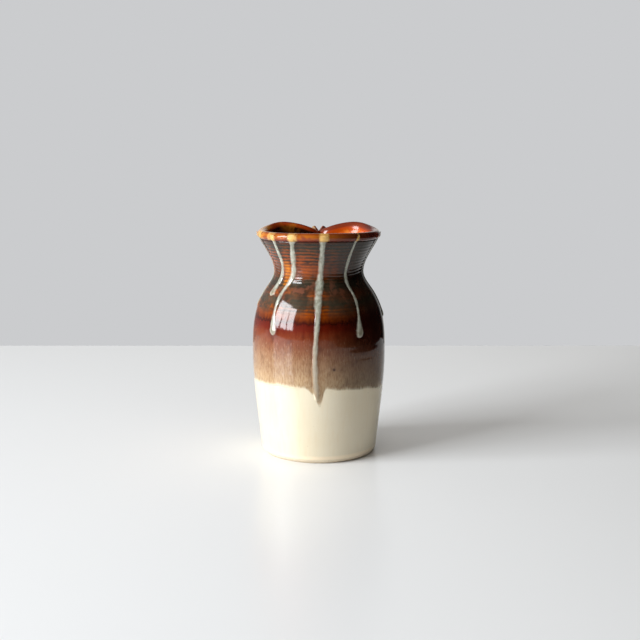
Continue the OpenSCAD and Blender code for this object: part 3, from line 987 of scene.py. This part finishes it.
# %% Streaks and blotches
def mottled(tree, colour):
    # The share of painted shade, away from the window, also thins the pale flecks and the brick patches.
    height, shade_share = read(tree, "height"), read(tree, "shade_share")
    low_part = spread(tree, height, 76, 64)
    fine = spread(tree, grain(tree, 1700, stretch=(1, 1, 0.20), shift=4.0), 0.30, 0.60, 0.75, 0.0)
    colour = blend(tree, times(tree, low_part, fine), colour, (0.62, 0.46, 0.36), "MULTIPLY")
    fleck = spread(tree, grain(tree, 1300, stretch=(1, 1, 0.35), shift=6.0), 0.56, 0.74, 0.0, 0.30)
    fleck = times(tree, low_part, fleck, less(tree, 1.0, shade_share, 0.8))
    colour = blend(tree, fleck, colour, (0.58, 0.42, 0.28))
    brick = spread(tree, grain(tree, 210, stretch=(1, 1, 0.8), shift=19.0), 0.54, 0.66)
    brick = times(tree, brick, within(tree, height, (88, 92), (112, 105)), less(tree, 0.55, shade_share, 0.4))
    colour = blend(tree, brick, colour, (0.24, 0.075, 0.040))
    blotch = spread(tree, grain(tree, 170, detail=4, shift=7.0), 0.5, 0.75, 0.0, 0.55)
    return blend(tree, blotch, colour, (0.45, 0.35, 0.30), "MULTIPLY")


print("mottling ready")

# %% [markdown]
# The lip is amber at the left, patched with red, and has a pale spot where each run started. The
# left ear is painted pale as painted light, where it faces the window, and the right ear is painted
# dark as painted shade. Each spot has an azimuth, a width and a strength.

# %% Lip and ears
LIP_SPOTS = [
    (-25, 8.0, 1.0), (5, 7.5, 1.0), (39.5, 2.2, 0.6), (-50, 9.0, 0.7), (-74, 9.0, 0.9),
    (-88, 5, 0.8), (84, 4, 0.7), (121, 5, 0.8), (-117, 6, 0.8),
]


def lip_spots(tree):
    azimuth, spots = read(tree, "azimuth"), 0.0
    for place, width, share in LIP_SPOTS:
        off = sums(tree, "ABSOLUTE", sums(tree, "SUBTRACT", azimuth, place), 0.0)
        spot = spread(tree, off, width * 0.75, width * 0.35, 0.0, share)
        spots = sums(tree, "MAXIMUM", spots, spot)
    return spots


def lip_and_ears(tree, colour):
    height, azimuth = read(tree, "height"), read(tree, "azimuth")
    lip, ear_top = spread(tree, height, 122.9, 123.7), spread(tree, height, 119.5, 122.5)
    amber = times(tree, lip, within(tree, azimuth, (-58, -72), (-128, -112)), not_behind(tree), 0.8)
    colour = blend(tree, amber, colour, AMBER)
    # Painted light: the left ear is painted pale where it faces the window.
    left_ear_painted_light = times(tree, spread(tree, azimuth, -164, -170), ear_top, 0.85)
    colour = blend(tree, left_ear_painted_light, colour, (0.60, 0.38, 0.20))
    # Painted shade: the right ear is painted dark where it faces away from the window.
    right_ear_painted_shade = times(tree, spread(tree, azimuth, 160, 168), ear_top, 0.9)
    colour = blend(tree, right_ear_painted_shade, colour, (0.045, 0.012, 0.006))
    red = times(tree, lip, spread(tree, grain(tree, 130, detail=2, shift=9.0), 0.55, 0.66, 0.0, 0.75))
    colour = blend(tree, red, colour, (0.20, 0.035, 0.018))
    patchy = times(tree, not_behind(tree), spread(tree, grain(tree, 330, detail=2, shift=8.0), 0.28, 0.5))
    return blend(tree, times(tree, lip, lip_spots(tree), patchy, 0.9), colour, YELLOW)


print(len(LIP_SPOTS), "spots on the lip")

# %% [markdown]
# One iron speck sits on the front. At the dip line the brown thins to a ragged feather over the cream.

# %% Whole brown recipe
SPECK_AT = (0.0084, -0.0367, 0.0548)


def iron_speck(tree, colour):
    place = add(tree, "TexCoord").outputs["Object"]
    gap = add(tree, "VectorMath", {0: place, 1: SPECK_AT}, operation="DISTANCE").outputs["Value"]
    return blend(tree, spread(tree, gap, 0.0012, 0.0004, 0.0, 0.9), colour, (0.030, 0.006, 0.003))


def feathered(tree, colour):
    above = read(tree, "above_dip")
    ragged = wobble(tree, 3.0, 900, stretch=(1, 1, 0.14), shift=11.0)
    cover = spread(tree, plus(tree, above, ragged), -0.8, 2.4)
    low_tongue = spread(tree, read(tree, "height"), 31, 41, 0.25, 1.0)
    cover = times(tree, cover, spread(tree, above, 0.0, 1.2), low_tongue)
    return blend(tree, cover, cream_colour(tree), colour)


def brown_colour(tree):
    colour = banded(tree)
    for layer in (shoulder, amber_pool, mottled, lip_and_ears, iron_speck, feathered):
        colour = layer(tree, colour)
    return colour


brown_finish, tree = start("brown_glaze_gloss")
beside_run = times(tree, read(tree, "halo"), 0.5)
colour = blend(tree, beside_run, brown_colour(tree), (0.50, 0.38, 0.28), "MULTIPLY")
roughness = spread(tree, grain(tree, 110, shift=2.0), 0.3, 0.7, 0.05, 0.09)
glossy(tree, colour, roughness, grain(tree, 240), 0.07, ior=1.46)
brown.data.materials.append(brown_finish)
print(brown_finish.name, len(tree.nodes), "nodes")

# %% [markdown]
# The runs are a pale grey-green glass, whitest along the crest, with olive grains in it. Towards
# their edges they take the colour of the coat below, and where they cross the lip they are yellow.
# The rim of each end drop is painted paler as a painted highlight.

# %% Run finish
run_finish, tree = start("trailed_glaze_gloss")
height, crest, drop = read(tree, "height"), read(tree, "crest"), read(tree, "drop")
speckle = grain(tree, 650, stretch=(1, 1, 0.4), shift=12.0)
pale = blend(tree, spread(tree, speckle, 0.35, 0.68), (0.52, 0.53, 0.44), (0.31, 0.31, 0.24))
pale = blend(tree, spread(tree, height, 84, 58, 0.0, 0.8), pale, (0.46, 0.385, 0.29))
# Painted highlight: a paler rim round each end drop.
drop_rim_painted_highlight = times(tree, drop, less(tree, 1.0, spread(tree, crest, 0.55, 0.95)))
pale = blend(tree, drop_rim_painted_highlight, pale, (0.58, 0.58, 0.44))
drop_middle = times(tree, drop, spread(tree, crest, 0.6, 1.0), 0.65)
pale = blend(tree, drop_middle, pale, (0.15, 0.13, 0.075))
pale = blend(tree, spread(tree, height, 122.6, 123.4), pale, YELLOW)
loose = spread(tree, height, 121.5, 123.5, 0.7, 1.6)
ragged = plus(tree, crest, times(tree, wobble(tree, 1.0, 520, shift=13.0), loose))
share = times(tree, spread(tree, ragged, 0.10, 0.95), spread(tree, height, 36, 50, 0.25, 0.85))
colour = blend(tree, share, brown_colour(tree), pale)
glossy(tree, colour, spread(tree, speckle, 0.3, 0.7, 0.08, 0.16), grain(tree, 300, detail=2), 0.12)
for drip in drips:
    drip.data.materials.append(run_finish)
print(run_finish.name, len(tree.nodes), "nodes")

# %% [markdown]
# The liner is the same amber as the lip, painted darker further down to nearly black, as painted
# shade deep inside the vase. Some gold shows where it ran thin.

# %% Liner bands
LINER_LOW, LINER_HIGH = 6, 128
# Painted shade: the liner grows nearly black further down inside the vase.
LINER = [
    (6, (0.006, 0.002, 0.001)), (80, (0.012, 0.003, 0.001)), (102, (0.05, 0.010, 0.002)),
    (110, (0.20, 0.035, 0.004)), (116, (0.46, 0.070, 0.004)), (121.5, (0.62, 0.105, 0.005)),
    (124.6, (0.46, 0.055, 0.003)), (127.5, (0.22, 0.030, 0.005)),
]
liner_finish, tree = start("amber_liner_gloss")
height = read(tree, "height")
drift = wobble(tree, 14.0, 80, shift=3.0)
calm = spread(tree, height, 119, 126, 1.0, 0.1)
band = plus(tree, height, times(tree, drift, calm))
colour = ramp(tree, band, LINER_LOW, LINER_HIGH, LINER)
gold = spread(tree, grain(tree, 210, shift=6.0), 0.52, 0.70, 0.0, 0.7)
gold = times(tree, gold, within(tree, height, (112, 117), (124.5, 122)))
colour = blend(tree, gold, colour, (0.74, 0.25, 0.030))
print("bands of the liner from", LINER_LOW, "to", LINER_HIGH, "mm")

# %% [markdown]
# Around the mouth the liner changes with its bearing: painted shade darkens the left, where the wall
# faces away from the window, a dark line runs at the top right, the right part of the rim is painted
# dark as painted shade and the left part is amber, and a brown patch at the far left is partly the
# glaze's own colour and partly painted light where the wall faces the window.

# %% Liner finish
turn, side = read(tree, "turn"), read(tree, "side")
at_left, at_right = spread(tree, side, 0.0, -0.3), spread(tree, side, 0.08, 0.3)
rim = spread(tree, height, 125.6, 126.6)
# Painted shade: the inside wall at the left, facing away from the window, is painted dark.
left_inside_painted_shade = times(tree, spread(tree, side, 0.10, -0.05), spread(tree, height, 126.6, 124.6))
left_inside_painted_shade = times(tree, left_inside_painted_shade, spread(tree, turn, 178, 150), 0.99)
colour = blend(tree, left_inside_painted_shade, colour, (0.008, 0.002, 0.001))
top_line = times(tree, spread(tree, height, 124.4, 125.8), at_right, spread(tree, turn, 150, 130), 0.75)
colour = blend(tree, top_line, colour, (0.15, 0.022, 0.008))
# Painted shade: the right part of the rim is painted dark, like the shaded right side outside.
rim_right_painted_shade = times(tree, rim, within(tree, turn, (50, 70), (146, 130)), at_right, 0.9)
colour = blend(tree, rim_right_painted_shade, colour, (0.085, 0.014, 0.008))
rim_amber = times(tree, rim, within(tree, turn, (58, 76), (128, 112)), at_left, 0.8)
colour = blend(tree, rim_amber, colour, AMBER)
# A brown patch at the back left: partly the glaze's own colour, partly painted light where the wall faces the
# window.
patch_and_painted_light = times(tree, at_left, within(tree, turn, (54, 42), (26, 36)))
patch_and_painted_light = times(tree, patch_and_painted_light, spread(tree, plus(tree, height, drift), 121, 126))
patch_and_painted_light = times(tree, patch_and_painted_light, spread(tree, grain(tree, 150, shift=5.0), 0.42, 0.60), 0.5)
colour = blend(tree, patch_and_painted_light, colour, (0.46, 0.15, 0.010))
glossy(tree, colour, spread(tree, grain(tree, 100), 0.3, 0.7, 0.14, 0.22), grain(tree, 260), 0.02)
liner.data.materials.append(liner_finish)
print(liner_finish.name, len(tree.nodes), "nodes")

# %% [markdown]
# The table is a plain pale laminate with a slight sheen, so that it holds a faint reflection.

# %% Table finish
table_finish, tree = start("pale_table")
tone = blend(tree, grain(tree, 3, detail=1), (0.905, 0.91, 0.915), (0.915, 0.92, 0.925))
sheen = spread(tree, grain(tree, 4, detail=1), 0.2, 0.8, 0.24, 0.27)
glossy(tree, tone, sheen, grain(tree, 2000, detail=0), 0.004)
table.data.materials.append(table_finish)
print(table_finish.name, len(tree.nodes), "nodes")

# %% [markdown]
# Last, the view layer is brought up to date.

# %% Finish
bpy.context.view_layer.update()
